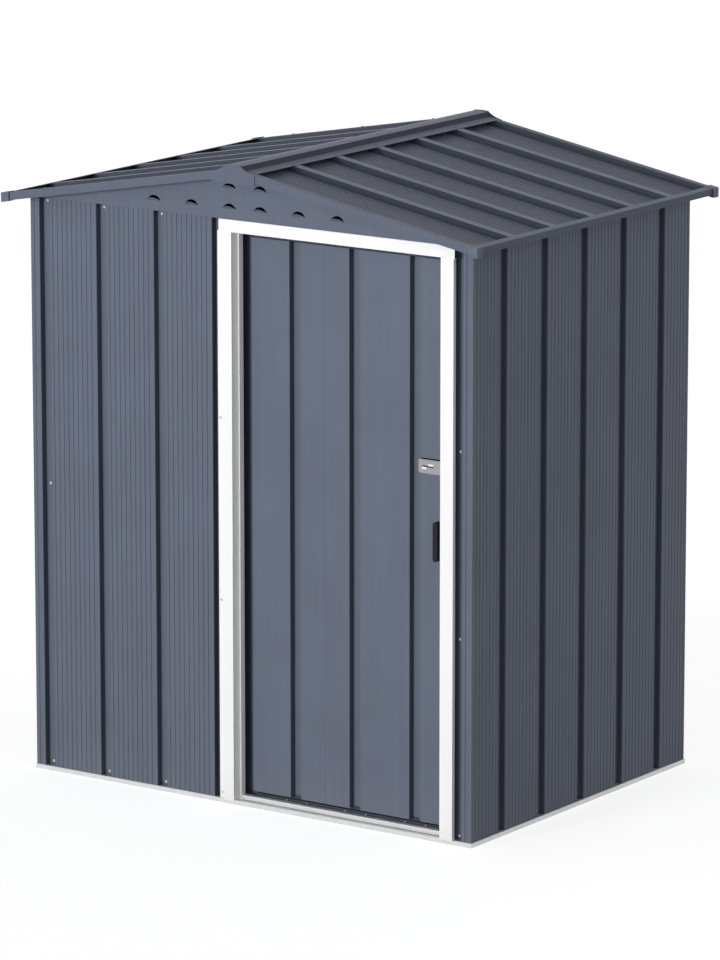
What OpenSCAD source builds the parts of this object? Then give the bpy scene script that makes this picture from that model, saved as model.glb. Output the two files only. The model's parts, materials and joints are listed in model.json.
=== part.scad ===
// Metal tool shed with a low gable roof and one sliding door.
// Origin: centre of the footprint on the ground. +X right, +Y to the rear, +Z up. Millimetres.

/* [Footprint] */
// Width over the base rails
base_w = 1480; // [1300:10:2000]
// Depth over the base rails
base_d = 1086; // [900:2:1500]
// Height of the wall sheets' top edge above the ground
wall_h = 1637; // [1500:1:1900]
// Setback of the wall sheets from the base rails' outer edge
wall_inset = 2.5; // [1:0.5:5]

/* [Ribbed sheet] */
// Thickness of the wall, roof and door sheets
sheet_t = 0.8; // [0.6:0.1:1.2]
// Spacing of the deep grooves and of the roof ribs
groove_pitch = 197; // [180:1:220]
// Width of a deep groove at the face
groove_w = 36; // [32:1:42]
// Width of a deep groove at its floor
groove_floor = 28; // [22:1:30]
// Depth of a deep groove
groove_d = 15.5; // [12:0.5:17]
// Distance of the outer groove's centre from the base edge, front and rear
corner_groove = 51; // [48:1:60]
// Spacing of the fine grooves
fine_pitch = 16.6; // [15:0.1:20]
// Distance from a deep groove's centre to the first fine groove after it
fine_first = 28.5; // [26:0.5:34]
// Distance from the last fine groove to the next deep groove's centre
fine_last = 35.5; // [28:0.5:38]
// Width of a fine groove
fine_w = 4; // [3:0.5:6]
// Depth of a fine groove
fine_d = 1.2; // [0.8:0.1:2]

/* [Roof] */
// Pitch of the roof slopes in degrees
roof_pitch = 10.1; // [8:0.1:13]
// Reach of the eave trims beyond the base rails
side_overhang = 47; // [35:1:60]
// Reach of the rake trims beyond the base rails
end_overhang = 56; // [40:1:70]
// Height of the roof ribs
rib_h = 15; // [12:0.5:18]
// Width of a roof rib at its top
rib_top = 28; // [24:1:32]
// Thickness of the roof trims and of the gables
trim_t = 1; // [0.8:0.1:1.5]
// Width of the eave trims' top flange
eave_flange = 20.5; // [16:0.5:26]
// Height of the eave trims' outer face
eave_face = 18; // [16:0.5:20]
// Height of the rake trims' outer face
rake_face = 22; // [20:0.5:26]
// Width of the rake trims' top flange
rake_flange = 19; // [14:0.5:21]
// Width of the trims' folded lower hem
trim_hem = 9; // [6:0.5:12]
// How far the corner caps stand proud of the trims
cap_proud = 4.5; // [3:0.5:6]
// Length of a corner cap along each trim
cap_len = 22; // [18:1:30]

/* [Ridge] */
// Height of the ridge crown above the roof trims
ridge_rise = 10; // [8:0.5:14]
// Half width of the ridge crown
ridge_half = 25; // [20:1:30]
// Half width of the ridge cap at the foot of its step
ridge_foot = 33; // [32:1:38]
// Half width of the ridge cap over its flanges
ridge_flange = 65; // [55:1:80]
// Half width of the ridge end plates
bell_half = 71; // [68:1:85]
// Height of the straight sides of the ridge end plates
bell_side = 30; // [24:1:36]
// Depth of the roof beam under the ridge
beam_h = 45; // [30:1:70]

/* [Gables] */
// How far the gable plates stand proud of the wall face
gable_proud = 7; // [5:0.5:10]
// Width of a louvre
louvre_w = 44; // [30:1:48]
// Height of a louvre
louvre_h = 14; // [10:0.5:16]
// Angle of a louvre's tongue in degrees
louvre_tilt = 50; // [40:1:80]
// Height of the lower row of louvres above the wall sheets
louvre_low = 29; // [25:1:32]
// Height of the upper louvres above the wall sheets
louvre_high = 85; // [80:1:90]

/* [Base and top rails] */
// Thickness of the rails and tracks
rail_t = 1.2; // [1:0.1:1.5]
// Height of the base rails' outer lip
lip_h = 13; // [10:0.5:18]
// Height of the base rails' inner flange
base_flange = 45; // [35:1:60]
// Width of the base rails' foot
foot_w = 66; // [64:1:80]
// Height of the top rails
top_rail_h = 22; // [18:1:30]

/* [Door frame] */
// Distance of the clear doorway's right edge from the base rails' right edge
door_inset = 107; // [106:1:112]
// Width of the clear doorway
door_clear = 666; // [600:1:700]
// How far the jambs and header stand proud of the wall face
frame_proud = 12; // [8:0.5:15]
// Width of the left jamb's front face
jamb_w = 34; // [28:1:42]
// Width of the right jamb's front face
jamb_right_w = 41; // [36:1:43]
// Width of the jambs' step beside the doorway
jamb_step = 9; // [6:0.5:12]
// Depth of the jambs' first return
jamb_return = 23.5; // [20:0.5:25]
// Depth of the jambs' second return
jamb_return2 = 18.5; // [15:0.5:19]
// Width of the left jamb's fixing flange
jamb_flange = 20; // [16:1:24]
// Height of the header's face
header_h = 34; // [30:1:40]

/* [Door] */
// Reach of the door behind the left jamb
door_lap = 30; // [20:1:40]
// Reach of the door behind the right jamb
door_lap_right = 37; // [30:1:45]
// Setback of the door's face from the base rails' front edge
door_back = 38; // [37.5:0.5:42]
// Distance of the door's first groove centre from the doorway's left edge
door_groove = 168; // [140:1:180]
// Distance of the door sheet's left edge from the doorway's left edge
stile_show = 20; // [12:1:24]
// Height of the door's underside above the ground
door_lift = 24; // [23:0.5:28]

/* [Hidden] */
// Gap left between pieces that are screwed together
seat = 0.2;
wall_x = base_w / 2 - wall_inset;
wall_y = base_d / 2 - wall_inset;
groove_back = groove_d + sheet_t;
ledge_w = wall_inset + groove_back + seat;
eave_x = base_w / 2 + side_overhang;
rake_y = base_d / 2 + end_overhang;
// Depth of the roof sheet from its rib tops to the underside of its fine grooves
roof_deep = rib_h + fine_d + sheet_t;
// Height of the plane over the rib tops at the ridge line
rib_z = wall_h + seat + roof_deep / cos(roof_pitch) + tan(roof_pitch) * wall_x;
ridge_z = rib_z + (trim_t + seat) / cos(roof_pitch) + ridge_rise;
slope_eave = eave_x / cos(roof_pitch);
slope_flange = (eave_x - eave_flange) / cos(roof_pitch) - 3 * seat;
gable_y = wall_y + gable_proud;
gable_z = wall_h + seat;
door_x1 = base_w / 2 - door_inset;
door_x0 = door_x1 - door_clear;
jamb_x0 = door_x0 - jamb_step - jamb_w;
jamb_x1 = door_x1 + jamb_step + jamb_right_w;
frame_v = wall_inset - frame_proud;
step_v = frame_v + jamb_return;
header_z = wall_h - header_h;
door_left = door_x0 - door_lap;
door_right = door_x1 + door_lap_right;
stile_v = door_back + groove_back - 2.3;
stile_w = 60;
stile_d = 16;
track_h = 17;
track_w = 26;
track_slot = 10;
track_v = door_back + 12;
track_z = wall_h - top_rail_h - track_h;
door_top = track_z - 6;
sill_z = 27;
sheet_gap = 13;
stile_foot = door_lift - 3;
rail_lip = 5;
foot_lip = 8;
door_rail_h = 26;
handle_z = 823;
hasp_z = 1022;
end_margin = 6;
// Sheet seams lie on the flat just past the middle groove or rib
seam = groove_w / 2 + 4;

paint = "#6b7280";
paint_dark = "#3c434f";
white = "#f4f4f2";
zinc = "#d9dadb";
steel = "#a9abae";
plastic_black = "#2b2b31";

// Outline of a folded strip: the path and its copy offset by t to the left of its direction
function left_of(a, b) = let (d = (b - a) / norm(b - a)) [-d[1], d[0]];
function mitre(p, i) =
    i == 0 ? left_of(p[0], p[1])
    : i == len(p) - 1 ? left_of(p[i - 1], p[i])
    : let (m = left_of(p[i - 1], p[i]), n = left_of(p[i], p[i + 1])) (m + n) / (1 + m * n);
function distinct(p) =
    [for (i = [0 : len(p) - 1]) if (i == 0 || norm(p[i] - p[max(i - 1, 0)]) > 0.01) p[i]];
function strip(q, t) =
    let (p = distinct(q)) concat(p, [for (i = [len(p) - 1 : -1 : 0]) p[i] + t * mitre(p, i)]);

// Path across one pressed channel centred at c: width at the face, width at the floor, depth
function channel(c, w, floor_w, d) =
    [[c - w / 2, 0], [c - floor_w / 2, d], [c + floor_w / 2, d], [c + w / 2, 0]];
function flat(lists) = [for (l = lists) for (p = l) p];
// Fine grooves between the deep grooves at a list of centres, kept clear of the sheet's ends
function fines_before(c, u0) =
    let (n = floor((c - fine_last - u0 - end_margin) / fine_pitch))
    n < 0 ? [] : [for (k = [n : -1 : 0]) c - fine_last - k * fine_pitch];
function fines_after(c, u1, next) =
    let (n = floor((min(next - fine_last, u1 - end_margin) - c - fine_first + 0.5) / fine_pitch))
    n < 0 ? [] : [for (k = [0 : n]) c + fine_first + k * fine_pitch];
function fine_path(cs) = flat([for (c = cs) channel(c, fine_w, fine_w / 2, fine_d)]);
// Path of a ribbed sheet from u0 to u1: deep channels of signed depth d, fine grooves of fine_d
function sheet_path(u0, u1, cs, w, floor_w, d) = concat(
    [[u0, 0]],
    fine_path(fines_before(cs[0], u0)),
    flat([for (i = [0 : len(cs) - 1]) concat(
        channel(cs[i], w, floor_w, d),
        fine_path(fines_after(cs[i], u1, i < len(cs) - 1 ? cs[i + 1] : u1 + fine_last)))]),
    [[u1, 0]]);
function wall_path(u0, u1, cs) = sheet_path(u0, u1, cs, groove_w, groove_floor, groove_d);

// Centres of the deep grooves: from the corner on the front and rear, from the middle on the sides
function corner_centres(x) = [for (u = [corner_groove : groove_pitch : base_w / 2 + x]) u - base_w / 2];
side_n = floor((base_d / 2 - groove_w) / groove_pitch);
side_centres = [for (k = [1 : side_n]) k * groove_pitch];
door_centres = [for (k = [0 : 2]) door_x0 + door_groove + k * groove_pitch];
door_seam = (door_centres[0] + door_centres[1]) / 2;

// A plan outline stood up between two heights
module upright(z0, z1) {
    translate([0, 0, z0]) linear_extrude(z1 - z0) children();
}
// A cross-section in (Y, Z) run along X from x0 to x1
module along_x(x0, x1) {
    translate([x0, 0, 0]) rotate([90, 0, 90]) linear_extrude(x1 - x0) children();
}
// A cross-section in (X, Z) run along Y from y0 to y1
module along_y(y0, y1) {
    translate([0, y1, 0]) rotate([90, 0, 0]) linear_extrude(y1 - y0) children();
}
// Frame of the right roof slope: X down the slope from the ridge line, Z out of the rib tops
module right_slope() {
    translate([0, 0, rib_z]) rotate([0, roof_pitch, 0]) children();
}
module left_slope() {
    mirror([1, 0, 0]) right_slope() children();
}
// A block between two corners
module block(a, b) {
    translate(a) cube(b - a);
}
// Section drawn from the front base edge, v inwards, placed at the front of the shed
module from_front() {
    translate([0, -base_d / 2]) children();
}

// One side of the rail ring, len long at depth half behind the shed's centre, mitred at both ends
module ring_side(len, half, reach) {
    intersection() {
        along_x(-len / 2, len / 2) translate([-half, 0]) children();
        upright(-1, wall_h + 1) polygon([[-len / 2, -half], [len / 2, -half],
            [len / 2 - reach, reach - half], [reach - len / 2, reach - half]]);
    }
}
module base_section() {
    polygon(strip([[foot_w, 0], [0, 0], [0, lip_h], [ledge_w, lip_h], [ledge_w, base_flange]], -rail_t));
}
module top_section() {
    polygon(strip([[foot_w, wall_h], [ledge_w, wall_h], [ledge_w, wall_h - top_rail_h],
        [foot_w, wall_h - top_rail_h]], rail_t));
}
module base_rail_front() {
    color(zinc) difference() {
        ring_side(base_w, base_d / 2, foot_w) base_section();
        block([jamb_x0, rail_t - base_d / 2, lip_h],
            [jamb_x1, foot_w - base_d / 2, base_flange + 1]);
    }
}
module base_rail_rear() {
    color(zinc) rotate([0, 0, 180]) ring_side(base_w, base_d / 2, foot_w) base_section();
}
module base_rail_right() {
    color(zinc) rotate([0, 0, 90]) ring_side(base_d, base_w / 2, foot_w) base_section();
}
module base_rail_left() {
    color(zinc) rotate([0, 0, -90]) ring_side(base_d, base_w / 2, foot_w) base_section();
}
module top_rail_front() {
    color(zinc) ring_side(base_w, base_d / 2, foot_w) top_section();
}
module top_rail_rear() {
    color(zinc) rotate([0, 0, 180]) ring_side(base_w, base_d / 2, foot_w) top_section();
}
module top_rail_right() {
    color(zinc) rotate([0, 0, 90]) ring_side(base_d, base_w / 2, foot_w) top_section();
}
module top_rail_left() {
    color(zinc) rotate([0, 0, -90]) ring_side(base_d, base_w / 2, foot_w) top_section();
}

// Wall sheet standing on the base rails' ledge, its face at depth half from the centre
module wall_sheet(u0, u1, cs, half) {
    color(paint) upright(lip_h, wall_h)
        translate([0, -half]) polygon(strip(wall_path(u0, u1, cs), sheet_t));
}
front_end = jamb_x0 + jamb_flange;
module front_wall_left() {
    wall_sheet(sheet_t - wall_x, front_end, corner_centres(jamb_x0), wall_y);
}
module front_wall_right() {
    c = base_w / 2 - corner_groove;
    wall_sheet(c - groove_w / 2 - end_margin, wall_x - sheet_t, [c], wall_y);
}
module rear_wall_left() {
    mirror([0, 1, 0]) wall_sheet(sheet_t - wall_x, 0, corner_centres(-groove_w), wall_y);
}
module rear_wall_right() {
    mirror([1, 0, 0]) rear_wall_left();
}
// Half of a side wall with the middle groove, and the half beyond it
module left_wall_front() {
    rotate([0, 0, -90]) wall_sheet(-seam, wall_y, concat([0], side_centres), wall_x);
}
module left_wall_rear() {
    rotate([0, 0, -90])
        wall_sheet(-wall_y, -seam - seat, [for (k = [side_n : -1 : 1]) -k * groove_pitch], wall_x);
}
module right_wall_front() {
    mirror([1, 0, 0]) left_wall_front();
}
module right_wall_rear() {
    mirror([1, 0, 0]) left_wall_rear();
}

// Gable half: plate with pressed louvres, foot flange on the top rail, head flange under the roof
function gable_edge(x) = rib_z - (roof_deep + seat) / cos(roof_pitch) - tan(roof_pitch) * x;
gable_tip = wall_x - 3 * trim_t / tan(roof_pitch);
gable_head = 22;
gable_foot = 38;
louvre_x = [51, 178, 305];
module louvre_outline(shrink) {
    r = (louvre_w * louvre_w / 4 + louvre_h * louvre_h) / (2 * louvre_h);
    intersection() {
        translate([0, louvre_h - r]) circle(r - shrink, $fn = 48);
        translate([-louvre_w / 2, 0]) square([louvre_w, louvre_h]);
    }
}
module louvre_places() {
    for (x = louvre_x) translate([x, 0, wall_h + louvre_low]) children();
    translate([louvre_x[0], 0, wall_h + louvre_high]) children();
}
module stand(t) {
    rotate([90, 0, 0]) linear_extrude(t) children();
}
module gable_half() {
    color(paint) union() {
        difference() {
            translate([0, trim_t - gable_y, 0]) stand(trim_t) polygon([[seat / 2, gable_z],
                [gable_tip, gable_z], [gable_tip, gable_edge(gable_tip)],
                [seat / 2, gable_edge(seat / 2)]]);
            translate([0, 1 - gable_y + trim_t, 0]) louvre_places() stand(trim_t + 2) louvre_outline(0);
        }
        translate([0, trim_t - gable_y, 0]) louvre_places()
            rotate([louvre_tilt, 0, 0]) stand(trim_t) louvre_outline(trim_t);
        block([seat / 2, -gable_y, gable_z], [gable_tip, gable_foot - gable_y, gable_z + trim_t]);
        intersection() {
            right_slope() block([0, -gable_y, -roof_deep - seat - trim_t],
                [slope_eave, gable_head - gable_y, -roof_deep - seat]);
            block([seat / 2, -gable_y, gable_z], [gable_tip, 0, ridge_z]);
        }
    }
}
module front_gable_right() {
    gable_half();
}
module front_gable_left() {
    mirror([1, 0, 0]) gable_half();
}
module rear_gable_right() {
    mirror([0, 1, 0]) gable_half();
}
module rear_gable_left() {
    mirror([0, 1, 0]) mirror([1, 0, 0]) gable_half();
}

// Roof sheet with raised ribs; its outer edge is a half rib under the rake trim
sheet_edge = rake_y - trim_t - seat;
edge_rib = rake_y - rake_flange - 3;
edge_foot = edge_rib - (groove_w - rib_top) / 2;
roof_n = floor((edge_foot - groove_w / 2 - end_margin) / groove_pitch);
rib_centres = [for (k = [1 : roof_n]) k * groove_pitch];
slope_top = 14;
function rib_path(u0, u1, cs) = sheet_path(u0, u1, cs, groove_w, rib_top, -rib_h);
function flip(p) = [for (q = p) [q[0], -q[1] - rib_h]];
module roof_sheet(path) {
    color(paint) right_slope() along_x(slope_top, slope_eave - trim_hem - 3 * trim_t)
        polygon(strip(path, -sheet_t));
}
roof_front_path = flip(concat(
    [[-sheet_edge, -rib_h], [-edge_rib, -rib_h]],
    rib_path(-edge_foot, seam, [for (k = [roof_n : -1 : 0]) -k * groove_pitch])));
roof_rear_path = flip(concat(
    rib_path(seam + seat, edge_foot, rib_centres),
    [[edge_rib, -rib_h], [sheet_edge, -rib_h]]));
module roof_right_front() {
    roof_sheet(roof_front_path);
}
module roof_right_rear() {
    roof_sheet(roof_rear_path);
}
module roof_left_front() {
    mirror([1, 0, 0]) roof_right_front();
}
module roof_left_rear() {
    mirror([1, 0, 0]) roof_right_rear();
}
// Trough-shaped beam under the ridge, its sloped flanges below the gables' head flanges
function beam_z(x) = gable_edge(x) - (trim_t + seat) / cos(roof_pitch);
beam_half = 15;
beam_flange = 45;
module roof_beam() {
    low = beam_z(beam_half) - beam_h;
    color(zinc) along_y(trim_t - gable_y, gable_y - trim_t) polygon(strip([
        [-beam_flange, beam_z(beam_flange)], [-beam_half, beam_z(beam_half)], [-beam_half, low],
        [beam_half, low], [beam_half, beam_z(beam_half)], [beam_flange, beam_z(beam_flange)]], -rail_t));
}
// Top face of a trim laid on the rib tops
function trim_z(x) = rib_z + (trim_t + seat) / cos(roof_pitch) - tan(roof_pitch) * x;
module ridge_cap() {
    right = [[ridge_half, ridge_z - 2.5], [ridge_foot, trim_z(ridge_foot)],
        [ridge_flange, trim_z(ridge_flange)]];
    left = [for (i = [2 : -1 : 0]) [-right[i][0], right[i][1]]];
    color(paint) along_y(-sheet_edge, sheet_edge)
        polygon(strip(concat(left, [[0, ridge_z]], right), -trim_t));
}
// Bell-shaped plate over the end of the ridge, with concave shoulders
bell_t = 2;
bell_steps = 8;
module bell_outline() {
    side_z = trim_z(bell_half) + 1;
    top = [ridge_half - 3, ridge_z];
    bend = [(bell_half + ridge_half) / 2 - 4, trim_z(bell_half) + tan(roof_pitch) * 30];
    shoulder = [for (i = [0 : bell_steps]) let (s = i / bell_steps)
        s * s * [bell_half, side_z] + 2 * s * (1 - s) * bend + (1 - s) * (1 - s) * top];
    right = concat(shoulder, [[bell_half, side_z - bell_side]]);
    polygon(concat([[0, ridge_z + 1]], right,
        [for (i = [len(right) - 1 : -1 : 0]) [-right[i][0], right[i][1]]]));
}
module ridge_end_front() {
    color(paint) translate([0, -rake_y - seat, 0]) stand(bell_t) bell_outline();
}
module ridge_end_rear() {
    mirror([0, 1, 0]) ridge_end_front();
}
module eave_trim_right() {
    z = trim_z(eave_x);
    color(paint) along_y(-sheet_edge, sheet_edge) polygon(strip([
        [eave_x - eave_flange, trim_z(eave_x - eave_flange)], [eave_x, z],
        [eave_x, z - eave_face], [eave_x - trim_hem, z - eave_face]], -trim_t));
}
module eave_trim_left() {
    mirror([1, 0, 0]) eave_trim_right();
}
// Rake trim: face over the sheet's edge, top flange on the edge rib, folded hem below
rake_top = trim_t + seat;
rake_low = rake_top - rake_face;
rake_start = rake_face * tan(roof_pitch);
module rake_front_right() {
    color(paint) right_slope() union() {
        block([rake_start, -rake_y, rake_low], [slope_eave - trim_t, trim_t - rake_y, rake_top]);
        block([(ridge_flange + 1) / cos(roof_pitch), -rake_y, seat],
            [slope_flange, rake_flange - rake_y, rake_top]);
        block([rake_start, -rake_y, rake_low], [slope_flange, trim_hem - rake_y, rake_low + trim_t]);
    }
}
module rake_front_left() {
    mirror([1, 0, 0]) rake_front_right();
}
module rake_rear_right() {
    mirror([0, 1, 0]) rake_front_right();
}
module rake_rear_left() {
    mirror([0, 1, 0]) rake_front_left();
}
// Moulded caps over the four corners where an eave trim meets a rake trim
cap_wall = 2;
// Upright slice of the roof's edge from x0 to x1, grown above and below the trims
module edge_slice(x0, x1, grow) {
    up = grow / cos(roof_pitch);
    low = up + rake_face / cos(roof_pitch);
    polygon([[x0, trim_z(x0) - low], [x1, trim_z(x1) - low], [x1, trim_z(x1) + up], [x0, trim_z(x0) + up]]);
}
module corner_cap() {
    difference() {
        along_y(-rake_y - cap_proud, cap_len - rake_y)
            edge_slice(eave_x - cap_len, eave_x + cap_proud, seat + cap_wall);
        along_y(-rake_y - seat, cap_len + 1 - rake_y)
            edge_slice(eave_x - cap_len - 1, eave_x + seat, seat);
    }
}
module corner_caps() {
    color(paint) for (i = [0, 1]) for (j = [0, 1])
        mirror([i, 0, 0]) mirror([0, j, 0]) corner_cap();
}

// Door frame: stepped jambs standing on the base rail, header across them
module door_jamb_left() {
    color(white) upright(lip_h + seat, header_z - seat) from_front() polygon(strip([
        [jamb_x0 - jamb_flange, wall_inset - trim_t], [jamb_x0, wall_inset - trim_t],
        [jamb_x0, frame_v], [jamb_x0 + jamb_w, frame_v], [jamb_x0 + jamb_w, step_v],
        [door_x0, step_v], [door_x0, step_v + jamb_return2]], trim_t));
}
module door_jamb_right() {
    color(white) upright(lip_h + seat, header_z - seat) from_front() polygon(strip([
        [door_x1, step_v + jamb_return2], [door_x1, step_v], [door_x1 + jamb_step, step_v],
        [door_x1 + jamb_step, frame_v], [jamb_x1, frame_v], [jamb_x1, wall_inset]], trim_t));
}
module door_header() {
    reach = wall_inset - seat;
    color(white) union() {
        along_x(jamb_x0 - 8, jamb_x1 + 3) translate([-base_d / 2, 0]) polygon(strip([
            [reach, wall_h], [frame_v, wall_h], [frame_v, header_z], [reach, header_z]], trim_t));
        along_x(front_end + 1, door_x1 + jamb_step) translate([-base_d / 2, 0]) polygon(strip([
            [frame_v, header_z], [ledge_w - seat, header_z],
            [ledge_w - seat, wall_h - top_rail_h / 2]], trim_t));
    }
}
// Sill across the doorway: face above the base rail's lip, tread, leg on the rail's foot
sill_back = 33;
sill_under = 1.2;
module door_sill() {
    low = lip_h + sill_under;
    color(zinc) along_x(door_x0 + seat, door_x1 - seat)
        translate([-base_d / 2, 0]) polygon(strip([
            [step_v + trim_hem, low], [step_v + trim_t + seat, low], [step_v + trim_t + seat, sill_z],
            [sill_back, sill_z], [sill_back, rail_t + seat]], -rail_t));
}
// Tracks: a slotted channel under the front top rail, an open channel on the base rail's foot
track_end = base_w / 2 - ledge_w - rail_t - 2;
module door_track_top() {
    low = track_z;
    top = track_z + track_h - seat;
    a = track_v - track_w / 2;
    b = track_v + track_w / 2;
    color(zinc) along_x(-track_end, track_end) translate([-base_d / 2, 0]) polygon(strip([
        [track_v - track_slot / 2, low], [a, low], [a, top], [b, top], [b, low],
        [track_v + track_slot / 2, low]], -rail_t));
}
guide_w = 12;
guide_play = 1.5;
module door_track_bottom() {
    a = track_v - guide_w / 2 - guide_play - rail_t;
    b = track_v + guide_w / 2 + guide_play + rail_t;
    z = rail_t + seat;
    top = stile_foot - 5.5;
    color(zinc) along_x(-track_end, track_end) translate([-base_d / 2, 0])
        polygon(strip([[a, top], [a, z], [b, z], [b, top]], rail_t));
}

// Door: two grooved sheets on a frame of channels
// The grooves end above the sheet's foot
notch_h = 5;
module door_sheet(path) {
    low = door_lift + sheet_gap;
    color(paint) difference() {
        upright(low, door_top - rail_lip) from_front()
            translate([0, door_back]) polygon(strip(path, sheet_t));
        for (c = door_centres) from_front()
            block([c - groove_w / 2, door_back + 2, low - 1],
                [c + groove_w / 2, door_back + groove_back + 1, low + notch_h]);
        hasp_slots();
    }
}
door_fold = (groove_w - groove_floor) / 2;
fold_d = stile_v - door_back - sheet_t - seat;
module door_sheet_left() {
    x = door_x0 + stile_show;
    door_sheet(concat([[x - 12, fold_d], [x, fold_d], [x + door_fold, 0]],
        channel(door_centres[0], groove_w, groove_floor, groove_d), [[door_seam - seat, 0]]));
}
module door_sheet_right() {
    x = door_right - 16;
    door_sheet(concat([[door_seam + seat, 0]],
        channel(door_centres[1], groove_w, groove_floor, groove_d),
        channel(door_centres[2], groove_w, groove_floor, groove_d),
        [[x - door_fold, 0], [x, fold_d], [x + 12, fold_d]]));
}
module stile_section() {
    polygon(strip([[0, stile_v + stile_d], [0, stile_v], [stile_w, stile_v],
        [stile_w, stile_v + stile_d]], rail_t));
}
module door_stile_left() {
    color(paint_dark) upright(stile_foot, door_top) from_front() translate([door_left, 0]) stile_section();
}
module door_stile_right() {
    color(paint_dark) upright(stile_foot, door_top) from_front()
        translate([door_right - stile_w, 0]) stile_section();
}
rail_v = door_back + groove_back + seat;
module door_rail(lip) {
    along_x(door_left + stile_w + seat, door_right - stile_w - seat) translate([-base_d / 2, 0])
        polygon(strip([[rail_v + rail_t, door_rail_h], [rail_v + rail_t, 0], [door_back + 3, 0],
            [door_back + 3, lip]], -rail_t));
}
module door_rail_bottom() {
    color(paint_dark) translate([0, 0, door_lift]) door_rail(foot_lip);
}
module door_rail_top() {
    color(paint_dark) translate([0, 0, door_top]) mirror([0, 0, 1]) door_rail(rail_lip);
}
// Sliders: T-shaped hangers that ride on the top track's lips, blocks that run in the bottom track
hanger_len = 44;
hanger_x = [for (e = [door_left + 100, door_right - 100]) e - hanger_len / 2];
module door_hangers() {
    lip_z = track_z + rail_t + seat;
    head = track_w - 2 * rail_t - 2 * guide_play;
    stem = track_slot - 2;
    color(plastic_black) for (x = hanger_x) from_front() union() {
        block([x, track_v - head / 2, lip_z], [x + hanger_len, track_v + head / 2, lip_z + 8]);
        block([x, track_v - stem / 2, door_top + seat], [x + hanger_len, track_v + stem / 2, lip_z + 1]);
    }
}
module door_guides() {
    color(plastic_black) for (c = [door_centres[0] - 40, door_centres[2] + 40]) from_front()
        block([c - 20, track_v - guide_w / 2, rail_t * 2 + seat + guide_play],
            [c + 20, track_v + guide_w / 2, door_lift - seat]);
}
// Pull handle: rounded plate with a rounded grip
handle_w = 26;
handle_h = 109;
handle_x = door_x1 - 14 - handle_w / 2;
module rounded(w, h, r) {
    square([w - 2 * r, h], center = true);
    square([w, h - 2 * r], center = true);
    for (i = [-1, 1]) for (j = [-1, 1])
        translate([i * (w / 2 - r), j * (h / 2 - r)]) circle(r, $fn = 32);
}
module on_door(x, z) {
    translate([x, door_back - seat - base_d / 2, z]) children();
}
module door_handle() {
    color(plastic_black) on_door(handle_x, handle_z) union() {
        stand(5) rounded(handle_w, handle_h - 8, 9);
        translate([1, 0, 0]) stand(20) rounded(15, handle_h, 7);
    }
}
// Hasp plate: a slanted slot for the padlock between two pressed lips, a slot over its top edge
hasp_w = 80;
hasp_h = 38;
hasp_x = door_x1 - 12 - hasp_w / 2;
slot_x = -9;
slot_tilt = 4;
module hasp_slots() {
    translate([0, 3, 0]) on_door(hasp_x, hasp_z) stand(6) union() {
        translate([slot_x, 0]) rotate(-slot_tilt) square([38, 5], center = true);
        translate([8 - hasp_w / 2, hasp_h / 2 - 1]) square([hasp_w - 8, 4.5]);
    }
}
lip_r = 3.5;
module pressed_lip(x0, x1, z) {
    translate([0, 0, z]) for (x = [x0, x1]) translate([x, 0, 0]) sphere(lip_r, $fn = 32);
    translate([x0, 0, z]) rotate([0, 90, 0]) cylinder(h = x1 - x0, r = lip_r, $fn = 32);
}
module door_hasp() {
    plate = 1.5;
    color(steel) on_door(hasp_x, hasp_z) union() {
        stand(plate) difference() {
            rounded(hasp_w, hasp_h, 6);
            translate([slot_x, 0]) rotate(-slot_tilt) square([36, 3], center = true);
        }
        intersection() {
            translate([slot_x, -plate, 0]) union() {
                pressed_lip(4, 17, lip_r + 1.4);
                pressed_lip(-17, -6, -lip_r - 1.4);
            }
            block([-hasp_w / 2, -plate - lip_r - 1, -hasp_h / 2], [hasp_w / 2, -plate / 2, hasp_h / 2]);
        }
    }
}

base_rail_front();
base_rail_rear();
base_rail_left();
base_rail_right();
front_wall_left();
front_wall_right();
rear_wall_left();
rear_wall_right();
left_wall_front();
left_wall_rear();
right_wall_front();
right_wall_rear();
top_rail_front();
top_rail_rear();
top_rail_left();
top_rail_right();
front_gable_left();
front_gable_right();
rear_gable_left();
rear_gable_right();
roof_left_front();
roof_left_rear();
roof_right_front();
roof_right_rear();
roof_beam();
ridge_cap();
ridge_end_front();
ridge_end_rear();
eave_trim_left();
eave_trim_right();
rake_front_left();
rake_front_right();
rake_rear_left();
rake_rear_right();
corner_caps();
door_jamb_left();
door_jamb_right();
door_header();
door_sill();
door_track_top();
door_track_bottom();
door_sheet_left();
door_sheet_right();
door_stile_left();
door_stile_right();
door_rail_top();
door_rail_bottom();
door_hangers();
door_guides();
door_handle();
door_hasp();
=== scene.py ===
"""Looks of a grey sheet metal tool shed: finishes, screws, eave strips, floor, light and camera."""

import json
import math

import bmesh
import bpy
from mathutils import Matrix, Vector


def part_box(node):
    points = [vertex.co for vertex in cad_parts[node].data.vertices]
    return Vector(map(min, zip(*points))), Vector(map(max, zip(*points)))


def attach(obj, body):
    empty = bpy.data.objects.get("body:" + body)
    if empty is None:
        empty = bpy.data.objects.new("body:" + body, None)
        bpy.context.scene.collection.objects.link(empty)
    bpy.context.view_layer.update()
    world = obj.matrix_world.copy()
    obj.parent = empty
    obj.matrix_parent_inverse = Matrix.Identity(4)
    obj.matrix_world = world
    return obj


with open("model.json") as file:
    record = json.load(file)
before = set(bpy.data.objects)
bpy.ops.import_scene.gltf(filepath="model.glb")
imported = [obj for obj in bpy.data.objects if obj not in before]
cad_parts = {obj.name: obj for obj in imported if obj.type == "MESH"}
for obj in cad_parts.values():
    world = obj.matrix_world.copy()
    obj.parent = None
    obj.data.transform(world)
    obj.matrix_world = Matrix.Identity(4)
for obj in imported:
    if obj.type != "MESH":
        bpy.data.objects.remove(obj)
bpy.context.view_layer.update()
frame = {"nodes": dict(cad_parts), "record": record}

# Sizes shared with the solids, in metres
GROOVE_PITCH = 0.197
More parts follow.
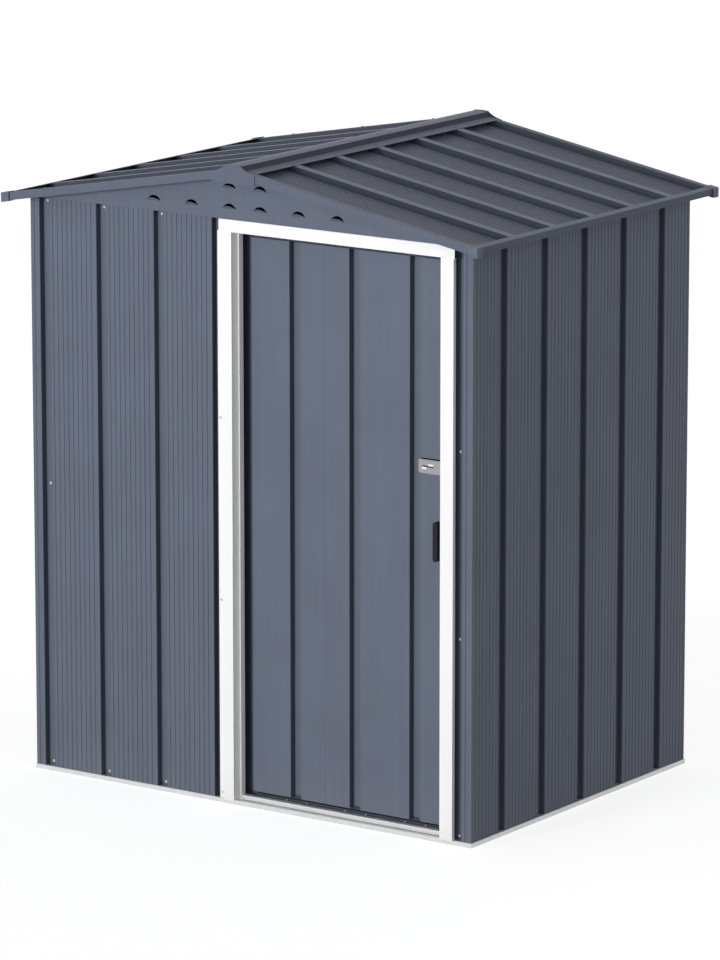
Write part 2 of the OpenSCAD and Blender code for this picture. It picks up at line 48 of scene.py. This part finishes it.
GROOVE_DEPTH = 0.0155
CORNER_GROOVE = 0.051
RIB_HEIGHT = 0.015
ROOF_PITCH = math.radians(10.1)
TRIM_LIFT = 0.0012

# Planes read from the frame
front_low, front_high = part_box("front_wall_left")
WALL_Y = -front_low[1]
WALL_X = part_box("right_wall_front")[1][0]
WALL_TOP = front_high[2]
BASE_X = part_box("base_rail_front")[1][0]
BASE_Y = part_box("base_rail_rear")[1][1]
EAVE_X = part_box("eave_trim_right")[1][0]
RAKE_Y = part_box("rake_rear_left")[1][1]
DOOR_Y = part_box("door_sheet_left")[0][1]
RIDGE_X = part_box("ridge_cap")[1][0]
RIB_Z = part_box("ridge_cap")[0][2] + math.tan(ROOF_PITCH) * RIDGE_X
SLOPE_EAVE = EAVE_X / math.cos(ROOF_PITCH)

# Paint colours as linear light
FACE_GREY = (0.118, 0.136, 0.180)
# The door's grey darkened as painted shade for the frame in its recess
FRAME_SHADED_GREY = (0.040, 0.050, 0.072)
# Painted highlight along the roof's fine lines
ROOF_LINE_GLINT = (0.39, 0.42, 0.50)
WHITE = (0.88, 0.88, 0.88)
ZINC = (0.74, 0.745, 0.755)
STEEL = (0.36, 0.36, 0.37)
# Painted shade in the corners of the grooves
GROOVE_CORNER_SHADE = (0.006, 0.011, 0.024)
BLACK = (0.010, 0.010, 0.013)
DUST = (0.30, 0.28, 0.25)
# Painted highlight on steel that stands proud
PROUD_HIGHLIGHT_STEEL = (0.92, 0.92, 0.93)
SCREW_GREY = (0.16, 0.18, 0.22)
SCREW_ZINC = (0.72, 0.725, 0.73)

# Share of the face colour in fine lines that take a painted highlight instead of painted shade, and the
# painted shade on the floors of the deep grooves
LINE_SHEEN = 1.12
GROOVE_FLOOR_SHADE = 0.94
# How far from a groove's corner its painted shade reaches
CORNER_SHADE_REACH = 0.014


class Shader:
    """A node material under construction: short calls that add and link nodes."""

    def __init__(self, name):
        self.material = bpy.data.materials.new(name)
        self.material.use_nodes = True
        self.tree = self.material.node_tree
        self.surface = self.tree.nodes["Principled BSDF"]
        coords = self.tree.nodes.new("ShaderNodeTexCoord")
        self.place = coords.outputs["Object"]

    def put(self, socket, value):
        if isinstance(value, bpy.types.NodeSocket):
            self.tree.links.new(value, socket)
        else:
            socket.default_value = value

    def add(self, kind, out=0, inputs=(), **settings):
        node = self.tree.nodes.new(kind)
        for key, value in settings.items():
            setattr(node, key, value)
        for key, value in dict(inputs).items():
            self.put(node.inputs[key], value)
        return node.outputs[out]

    def math(self, operation, *values, clamp=False):
        return self.add("ShaderNodeMath", inputs=enumerate(values), operation=operation, use_clamp=clamp)

    def span(self, value, low, high, to_low=0.0, to_high=1.0):
        inputs = {0: value, 1: low, 2: high, 3: to_low, 4: to_high}
        return self.add("ShaderNodeMapRange", inputs=inputs, interpolation_type="SMOOTHSTEP")

    def axes(self):
        split = self.tree.nodes.new("ShaderNodeSeparateXYZ")
        self.tree.links.new(self.place, split.inputs[0])
        return split.outputs

    def upward(self):
        """Height of the surface normal: 1 on level faces, 0 on upright ones."""
        split = self.tree.nodes.new("ShaderNodeSeparateXYZ")
        self.put(split.inputs[0], self.add("ShaderNodeNewGeometry", out="Normal"))
        return split.outputs[2]

    def noise(self, scale, detail=2.0, stretch=(1, 1, 1)):
        place = self.add("ShaderNodeMapping", inputs={"Vector": self.place, "Scale": stretch})
        return self.add("ShaderNodeTexNoise", inputs={"Vector": place, "Scale": scale, "Detail": detail})

    def cells(self, scale):
        inputs = {"Vector": self.place, "Scale": scale}
        return self.add("ShaderNodeTexVoronoi", out="Color", inputs=inputs)

    def mix(self, factor, a, b, blend="MIX"):
        node = self.tree.nodes.new("ShaderNodeMix")
        node.data_type = "RGBA"
        node.blend_type = blend
        for socket, value in zip((node.inputs[0], node.inputs[6], node.inputs[7]), (factor, a, b)):
            if isinstance(value, tuple) and len(value) == 3:
                value = (*value, 1.0)
            self.put(socket, value)
        return node.outputs[2]

    def vary(self, colour, value, amount):
        """colour made lighter and darker by a value around one half."""
        shade = self.span(value, 0.3, 0.7, 1 - amount, 1 + amount)
        grey = self.add("ShaderNodeCombineColor", inputs={0: shade, 1: shade, 2: shade})
        return self.mix(1.0, colour, grey, "MULTIPLY")

    def bump(self, *layers):
        """Bump layers as (height, strength, distance), one on top of the other."""
        normal = None
        for height, strength, distance in layers:
            inputs = {"Height": height, "Strength": strength, "Distance": distance}
            if normal is not None:
                inputs["Normal"] = normal
            normal = self.add("ShaderNodeBump", inputs=inputs)
        self.put(self.surface.inputs["Normal"], normal)

    def finish(self, colour, roughness, metallic=0.0, shine=0.5):
        self.put(self.surface.inputs["Base Color"], colour)
        self.put(self.surface.inputs["Roughness"], roughness)
        self.surface.inputs["Metallic"].default_value = metallic
        self.surface.inputs["Specular IOR Level"].default_value = shine
        return self.material


def wall_gaps(s):
    """Distances of a point behind the side walls' faces and the end walls' faces."""
    x, y, _ = s.axes()
    side = s.math("SUBTRACT", WALL_X, s.math("ABSOLUTE", x))
    end = s.math("SUBTRACT", WALL_Y, s.math("ABSOLUTE", y))
    return side, end


def wall_depth(s):
    """Distance of a point behind the nearest wall face."""
    side, end = wall_gaps(s)
    return s.math("MINIMUM", side, end)


def wall_ends(s):
    """1 on the front and rear walls, 0 on the side walls."""
    side, end = wall_gaps(s)
    return s.math("LESS_THAN", end, side)


def door_depth(s):
    """Distance of a point behind the door's face."""
    return s.math("SUBTRACT", s.axes()[1], DOOR_Y)


def roof_depth(s):
    """Distance of a point below the plane of the bays between the ribs."""
    x, _, z = s.axes()
    drop = s.math("MULTIPLY", s.math("ABSOLUTE", x), math.tan(ROOF_PITCH))
    below = s.math("SUBTRACT", s.math("SUBTRACT", RIB_Z, drop), z)
    return s.math("SUBTRACT", s.math("MULTIPLY", below, math.cos(ROOF_PITCH)), RIB_HEIGHT)


def painted_sheet(name, depth=None, face=FACE_GREY, walls=0.5, lines=0.82, line_tint=None,
                  shaded_lines=None, shine=0.2, level_highlight=0.0, corners=0.0, steep=None):
    """Satin coil-coated sheet with faint streaks and orange peel.

    walls, lines: share of the face colour left on groove walls and in fine lines, as painted shade
    line_tint: colour of the fine lines as a painted highlight, where light would catch them
    shaded_lines: where the fine lines take painted shade; elsewhere they are LINE_SHEEN brighter, a painted
    highlight
    level_highlight: how much lighter level faces are painted, as a painted highlight
    corners: how dark the painted shade makes the corners of the grooves
    steep: share of the face colour left on slanted faces, as painted shade
    """
    s = Shader(name)
    colour = face
    if depth is not None:
        deep = depth(s)
        past_face = s.span(deep, 0.0015, 0.0035)
        on_floor = s.span(deep, 0.0125, 0.0150)
        in_line = s.math("SUBTRACT", s.span(deep, 0.0002, 0.0008), past_face, clamp=True)
        on_wall = s.math("SUBTRACT", past_face, on_floor, clamp=True)
        # Painted shade: the walls of the deep grooves darkened to the walls share of the face colour
        colour = s.mix(on_wall, face, tuple(walls * c for c in face))
    # Painted shade on slanted faces
    if steep is not None:
        lean = s.upward()
        slanted = s.math("SUBTRACT", s.span(lean, 0.05, 0.18), s.span(lean, 0.80, 0.93), clamp=True)
        colour = s.mix(slanted, colour, tuple(steep * c for c in face))
    if depth is not None:
        # Fine lines get painted shade, or a painted highlight where a light line colour is given or the line
        # mask leaves them out
        tint = line_tint or tuple(lines * c for c in face)
        if shaded_lines is not None:
            tint = s.mix(shaded_lines(s), tuple(LINE_SHEEN * c for c in face), tint)
        colour = s.mix(in_line, colour, tint)
        colour = s.mix(on_floor, colour, tuple(GROOVE_FLOOR_SHADE * c for c in face))
    # Painted shade in the corners of the grooves, where little open sky reaches them
    if corners:
        open_sky = s.add("ShaderNodeAmbientOcclusion", out="AO", inputs={"Distance": CORNER_SHADE_REACH}, samples=6)
        corner_shade = s.math("MULTIPLY", past_face, s.span(open_sky, 0.85, 0.35, 0.0, corners))
        colour = s.mix(corner_shade, colour, GROOVE_CORNER_SHADE)
    # Painted highlight on level faces
    if level_highlight:
        lit_level = s.span(s.upward(), 0.90, 0.97)
        if depth is not None:
            lit_level = s.math("MULTIPLY", lit_level, s.span(deep, -0.010, -0.014))
        colour = s.mix(lit_level, colour, tuple((1 + level_highlight) * c for c in face))
    patches = s.noise(5.0, 3.0)
    streaks = s.noise(60.0, 3.0, stretch=(1, 1, 0.03))
    specks = s.noise(700.0, 1.0)
    colour = s.vary(colour, patches, 0.03)
    colour = s.vary(colour, streaks, 0.025)
    colour = s.vary(colour, specks, 0.02)
    low = s.span(s.axes()[2], 0.14, 0.0, 0.0, 0.10)
    colour = s.mix(s.math("MULTIPLY", low, patches), colour, DUST)
    roughness = s.math("ADD", s.span(streaks, 0.3, 0.7, 0.42, 0.50), s.math("MULTIPLY", low, 0.5))
    s.bump((patches, 0.10, 0.0015), (s.noise(1100.0, 1.0), 0.05, 0.0002))
    return s.finish(colour, roughness, shine=shine)


def white_sheet(name):
    """White coil-coated sheet with faint grime and orange peel."""
    s = Shader(name)
    grime = s.noise(9.0, 4.0, stretch=(1, 1, 0.15))
    colour = s.vary(s.vary(WHITE, grime, 0.02), s.noise(500.0, 1.0), 0.012)
    low = s.span(s.axes()[2], 0.12, 0.0, 0.0, 0.2)
    colour = s.mix(s.math("MULTIPLY", low, grime), colour, DUST)
    s.bump((s.noise(4.0), 0.08, 0.0015), (s.noise(1100.0, 1.0), 0.05, 0.0002))
    return s.finish(colour, s.span(grime, 0.3, 0.7, 0.36, 0.46))


def zinc_sheet(name, colour=ZINC, spangle=90.0, proud=None):
    """Galvanised sheet: crystal spangle, dull patches, rolling marks, a painted highlight where it stands
    proud.
    """
    s = Shader(name)
    crystals = s.cells(spangle)
    dull = s.noise(14.0, 4.0)
    shade = s.vary(s.vary(colour, crystals, 0.025), dull, 0.03)
    low = s.span(s.axes()[2], 0.05, 0.0, 0.0, 0.15)
    shade = s.mix(s.math("MULTIPLY", low, dull), shade, DUST)
    # Painted highlight where the steel stands proud
    if proud is not None:
        proud_highlight = s.span(door_depth(s), -proud, -proud - 0.001)
        shade = s.mix(proud_highlight, shade, PROUD_HIGHLIGHT_STEEL)
    s.bump((crystals, 0.04, 0.0003), (s.noise(900.0, 1.0, stretch=(0.05, 1, 1)), 0.04, 0.0002))
    return s.finish(shade, s.span(dull, 0.3, 0.7, 0.32, 0.46), metallic=0.55)


def moulded_plastic(name, colour):
    """Moulded plastic with a fine spark-eroded grain."""
    s = Shader(name)
    grain = s.noise(1600.0, 2.0)
    shade = s.vary(s.vary(colour, s.noise(30.0, 3.0), 0.08), grain, 0.05)
    s.bump((grain, 0.18, 0.0003))
    return s.finish(shade, s.span(s.noise(45.0, 2.0), 0.3, 0.7, 0.42, 0.56), shine=0.25)


LOOKS = {
    "wall_paint": painted_sheet("wall_paint", wall_depth, shaded_lines=wall_ends, corners=0.75),
    "gable_paint": painted_sheet("gable_paint"),
    "roof_paint": painted_sheet("roof_paint", roof_depth, line_tint=ROOF_LINE_GLINT, shine=0.06,
                                level_highlight=0.80, steep=0.55),
    "trim_paint": painted_sheet("trim_paint", shine=0.06, level_highlight=0.50, steep=0.5),
    "door_paint": painted_sheet("door_paint", door_depth, corners=0.75),
    "frame_paint": painted_sheet("frame_paint", face=FRAME_SHADED_GREY),
    "white_paint": white_sheet("white_paint"),
    "galvanised": zinc_sheet("galvanised"),
    "hasp_steel": zinc_sheet("hasp_steel", STEEL, spangle=400.0, proud=0.0019),
    "cap_plastic": moulded_plastic("cap_plastic", FACE_GREY),
    "black_plastic": moulded_plastic("black_plastic", BLACK),
}
screw_paint = painted_sheet("screw_paint", face=SCREW_GREY, shine=0.5)
screw_steel = zinc_sheet("screw_steel", SCREW_ZINC, spangle=700.0)

for part in frame["record"]["subparts"]:
    mesh = frame["nodes"][part["node"]].data
    mesh.materials.clear()
    mesh.materials.append(LOOKS[part["material_slot"]])


# Screws: a washer and a domed head with a cross recess, on every sheet joint
SCREW_SIDES = 24
RECESS_HALF = 0.16
RECESS_REACH = 0.62


def screw_profile(head, washer):
    """Radius and height of the rings from the washer's rim to the crown of the head."""
    dome = [(head * math.cos(a), washer * 0.22 + head * 0.55 * math.sin(a))
            for a in (0, math.radians(25), math.radians(50), math.radians(70))]
    rim = [(washer, 0.0), (washer, washer * 0.12), (washer * 0.93, washer * 0.2), (head, washer * 0.2)]
    return rim + dome + [(head * f, dome[-1][1] + head * 0.03) for f in (0.25, 0.12)]


def add_screw(bm, place, head, washer):
    """Adds one screw whose axis is the local Z of the placing matrix."""
    rings = []
    for radius, height in screw_profile(head, washer):
        ring = []
        for i in range(SCREW_SIDES):
            a = 2 * math.pi * i / SCREW_SIDES
            x, y, z = radius * math.cos(a), radius * math.sin(a), height
            slot = min(abs(x), abs(y)) < RECESS_HALF * head and radius < RECESS_REACH * head
            ring.append(bm.verts.new(place @ Vector((x, y, z - head * 0.3 if slot else z))))
        rings.append(ring)
    for low, high in zip(rings, rings[1:]):
        for i in range(SCREW_SIDES):
            j = (i + 1) % SCREW_SIDES
            bm.faces.new((low[i], low[j], high[j], high[i]))
    bm.faces.new(rings[-1])
    bm.faces.new(rings[0][::-1])


def facing(point, normal):
    """Placing matrix with its Z along a normal."""
    return Matrix.Translation(point) @ Vector(normal).to_track_quat("Z", "Y").to_matrix().to_4x4()


def screws(name, places, body="shed", head=0.0030, washer=0.0042, look=screw_steel):
    """One object holding all the screws at a list of (point, normal)."""
    bm = bmesh.new()
    for i, (point, normal) in enumerate(places):
        turn = Matrix.Rotation(math.radians(37 * i % 90), 4, "Z")
        add_screw(bm, facing(point, normal) @ turn, head, washer)
    mesh = bpy.data.meshes.new(name)
    bm.to_mesh(mesh)
    bm.free()
    mesh.materials.append(look)
    piece = bpy.data.objects.new(name, mesh)
    bpy.context.collection.objects.link(piece)
    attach(piece, body)


FRONT, REAR = (0, -1, 0), (0, 1, 0)
FOOT_Z = 0.024
HEAD_Z = WALL_TOP - 0.011
MIDDLE_Z = 0.826
STRIP_SCREW_Z = (FOOT_Z, 0.568, 1.080)
JAMB_SCREW_Z = (0.030, 0.575, 1.085)
floor_y = WALL_Y - GROOVE_DEPTH
floor_x = WALL_X - GROOVE_DEPTH
corner_grooves = [BASE_X - CORNER_GROOVE - k * GROOVE_PITCH for k in range(4)]
side_grooves = [k * GROOVE_PITCH for k in range(-2, 3)]

wall_places = []
for z in (FOOT_Z, HEAD_Z):
    wall_places += [((-x, -floor_y, z), FRONT) for x in corner_grooves[:3]]
    wall_places += [((s * x, floor_y, z), REAR) for x in corner_grooves for s in (-1, 1)]
    wall_places += [((s * floor_x, y, z), (s, 0, 0)) for y in side_grooves for s in (-1, 1)]
wall_places += [((s * floor_x, 0, MIDDLE_Z), (s, 0, 0)) for s in (-1, 1)]
wall_places += [((-corner_grooves[0], -floor_y, MIDDLE_Z), FRONT)]
wall_places += [((corner_grooves[0], -floor_y, z), FRONT) for z in STRIP_SCREW_Z]
wall_places += [((s * corner_grooves[0], floor_y, MIDDLE_Z), REAR) for s in (-1, 1)]
screws("wall_screws", wall_places)

jamb_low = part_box("door_jamb_left")[0]
jamb_x = jamb_low[0] + 0.008
jamb_y = -WALL_Y - 0.001
screws("jamb_screws", [((jamb_x, jamb_y, z), FRONT) for z in JAMB_SCREW_Z])


def on_slope(side, down, y, up):
    """Point and normal on a roof slope: distance down from the ridge line, height over the rib tops."""
    c, n = math.cos(ROOF_PITCH), math.sin(ROOF_PITCH)
    x, z = down * c + up * n, RIB_Z - down * n + up * c
    return (side * x, y, z), (side * n, 0, c)


bay_centres = [s * (k + 0.5) * GROOVE_PITCH for k in range(3) for s in (-1, 1)]
roof_places = []
for side in (-1, 1):
    roof_places += [on_slope(side, SLOPE_EAVE - 0.040, y, -RIB_HEIGHT) for y in bay_centres]
    roof_places += [on_slope(side, 0.052, y, TRIM_LIFT) for y in (-0.394, 0.0, 0.394)]
    roof_places += [on_slope(side, d, s * (RAKE_Y - 0.010), TRIM_LIFT)
                    for d in (0.16, 0.41, 0.66) for s in (-1, 1)]
    roof_places += [on_slope(side, 0.42, 0.0, 0.0)]
screws("roof_screws", roof_places, look=screw_paint)

# Section of the eave strips: distance inside the eave and height over the rib tops
STRIP_IN, STRIP_OUT = 0.0118, 0.0036
STRIP_LOW, STRIP_TOP = -0.0157, -0.0012
STRIP_END_GAP = 0.004


def eave_filler(side):
    """Foam strip that closes the gap between a roof slope's sheets and the eave trim's face."""
    low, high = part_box("eave_trim_right")
    near, far = SLOPE_EAVE - STRIP_IN, SLOPE_EAVE - STRIP_OUT
    section = ((near, STRIP_LOW), (far, STRIP_LOW), (far, STRIP_TOP), (near, STRIP_TOP))
    bm = bmesh.new()
    rings = []
    for y in (low[1] + STRIP_END_GAP, high[1] - STRIP_END_GAP):
        rings.append([bm.verts.new(on_slope(side, down, y, up)[0]) for down, up in section])
    for i in range(4):
        j = (i + 1) % 4
        bm.faces.new((rings[0][i], rings[0][j], rings[1][j], rings[1][i]))
    bm.faces.new(rings[0][::-1])
    bm.faces.new(rings[1])
    bmesh.ops.recalc_face_normals(bm, faces=bm.faces)
    mesh = bpy.data.meshes.new("eave_filler")
    bm.to_mesh(mesh)
    bm.free()
    mesh.materials.append(LOOKS["black_plastic"])
    piece = bpy.data.objects.new("eave_filler_right" if side > 0 else "eave_filler_left", mesh)
    bpy.context.collection.objects.link(piece)
    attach(piece, "shed")


eave_filler(-1)
eave_filler(1)

# Small screws in the door's foot lip, on both sides of each groove
DOOR_GROOVE_X = 0.135
LIP_SCREW_STEP = 0.034
lip_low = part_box("door_rail_bottom")[0]
door_groove_x = [DOOR_GROOVE_X + k * GROOVE_PITCH for k in range(3)]
lip_places = [((x + dx, lip_low[1], lip_low[2] + 0.0026), FRONT)
              for x in door_groove_x for dx in (-LIP_SCREW_STEP, LIP_SCREW_STEP)]
screws("door_lip_screws", lip_places, body="door", head=0.0016, washer=0.0022)


# Floor, light and camera
def lit_by_rays(tree):
    """1 for the rays that should see the white surroundings: camera, glossy and transmission."""
    path = tree.nodes.new("ShaderNodeLightPath")
    total = None
    for name in ("Is Camera Ray", "Is Glossy Ray", "Is Transmission Ray"):
        if total is None:
            total = path.outputs[name]
            continue
        add = tree.nodes.new("ShaderNodeMath")
        add.operation = "MAXIMUM"
        tree.links.new(total, add.inputs[0])
        tree.links.new(path.outputs[name], add.inputs[1])
        total = add.outputs[0]
    return total


HORIZON_LIGHT = 0.97
ZENITH_LIGHT = 0.10
FLOOR_GREY = 0.60
FLOOR_GLOW = 0.745
SUN_POWER = 2.75
SUN_FROM = Vector((-0.26, -0.962, 0.05))
REAR_POWER = 0.7
REAR_FROM = Vector((-0.25, 0.96, 0.12))
SUN_ANGLE = math.radians(18)

world = bpy.data.worlds.new("studio")
bpy.context.scene.world = world
world.use_nodes = True
sky = world.node_tree.nodes["Background"]
sky.inputs["Color"].default_value = (1, 1, 1, 1)
heading = world.node_tree.nodes.new("ShaderNodeTexCoord")
height = world.node_tree.nodes.new("ShaderNodeSeparateXYZ")
world.node_tree.links.new(heading.outputs["Generated"], height.inputs[0])
dome = world.node_tree.nodes.new("ShaderNodeMapRange")
dome.inputs[3].default_value = HORIZON_LIGHT
dome.inputs[4].default_value = ZENITH_LIGHT
world.node_tree.links.new(height.outputs[2], dome.inputs[0])
level = world.node_tree.nodes.new("ShaderNodeMapRange")
level.inputs[4].default_value = 1.0
world.node_tree.links.new(dome.outputs[0], level.inputs[3])
world.node_tree.links.new(lit_by_rays(world.node_tree), level.inputs[0])
world.node_tree.links.new(level.outputs[0], sky.inputs["Strength"])

FLOOR_HALF = 40.0
FLOOR_DROP = 0.0005
FOOTPRINT_MARGIN = 0.02
bm = bmesh.new()
bmesh.ops.create_grid(bm, x_segments=2, y_segments=2, size=FLOOR_HALF)
floor_mesh = bpy.data.meshes.new("floor")
bm.to_mesh(floor_mesh)
bm.free()
floor = bpy.data.objects.new("floor", floor_mesh)
floor.location.z = -FLOOR_DROP
bpy.context.collection.objects.link(floor)
ground = bpy.data.materials.new("floor")
ground.use_nodes = True
ground_tree = ground.node_tree
ground_surface = ground_tree.nodes["Principled BSDF"]
ground_surface.inputs["Base Color"].default_value = (FLOOR_GREY, FLOOR_GREY, FLOOR_GREY, 1)
ground_surface.inputs["Roughness"].default_value = 1.0
ground_surface.inputs["Specular IOR Level"].default_value = 0.0
ground_surface.inputs["Emission Color"].default_value = (1, 1, 1, 1)
spot = ground_tree.nodes.new("ShaderNodeTexCoord")
across = ground_tree.nodes.new("ShaderNodeSeparateXYZ")
ground_tree.links.new(spot.outputs["Object"], across.inputs[0])


def floor_math(operation, a, b=None):
    """A math node in the floor's material."""
    node = ground_tree.nodes.new("ShaderNodeMath")
    node.operation = operation
    for socket, value in zip(node.inputs, (a, b)):
        if isinstance(value, bpy.types.NodeSocket):
            ground_tree.links.new(value, socket)
        elif value is not None:
            socket.default_value = value
    return node.outputs[0]


# The ground inside the walls keeps to the light that reaches it
past_x = floor_math("GREATER_THAN", floor_math("ABSOLUTE", across.outputs[0]), BASE_X - FOOTPRINT_MARGIN)
past_y = floor_math("GREATER_THAN", floor_math("ABSOLUTE", across.outputs[1]), BASE_Y - FOOTPRINT_MARGIN)
outside = floor_math("MAXIMUM", past_x, past_y)
glow = floor_math("MULTIPLY", floor_math("MULTIPLY", lit_by_rays(ground_tree), outside), FLOOR_GLOW)
ground_tree.links.new(glow, ground_surface.inputs["Emission Strength"])
floor_mesh.materials.append(ground)


def soft_sun(name, power, source):
    """A broad sun lamp shining from a direction, left out of reflections."""
    light = bpy.data.lights.new(name, "SUN")
    light.energy = power
    light.angle = SUN_ANGLE
    lamp = bpy.data.objects.new(name, light)
    lamp.rotation_euler = source.to_track_quat("Z", "Y").to_euler()
    lamp.visible_glossy = False
    bpy.context.collection.objects.link(lamp)


soft_sun("key", SUN_POWER, SUN_FROM)
soft_sun("rear", REAR_POWER, REAR_FROM)

CAMERA_PLACE = Vector((9.27417, -13.31454, 4.32092))
CAMERA_RIGHT = Vector((0.820529, 0.571605, -0.000344))
CAMERA_UP = Vector((-0.120083, 0.172966, 0.977580))
LENS_MM = 222.3167
lens = bpy.data.cameras.new("camera")
lens.lens = LENS_MM
lens.sensor_width = 36.0
lens.clip_end = 200.0
camera = bpy.data.objects.new("camera", lens)
camera.location = CAMERA_PLACE
camera_axes = Matrix((CAMERA_RIGHT, CAMERA_UP, CAMERA_RIGHT.cross(CAMERA_UP))).transposed()
camera.rotation_euler = camera_axes.to_euler()
bpy.context.collection.objects.link(camera)
bpy.context.scene.camera = camera
bpy.context.scene.view_settings.view_transform = "Standard"
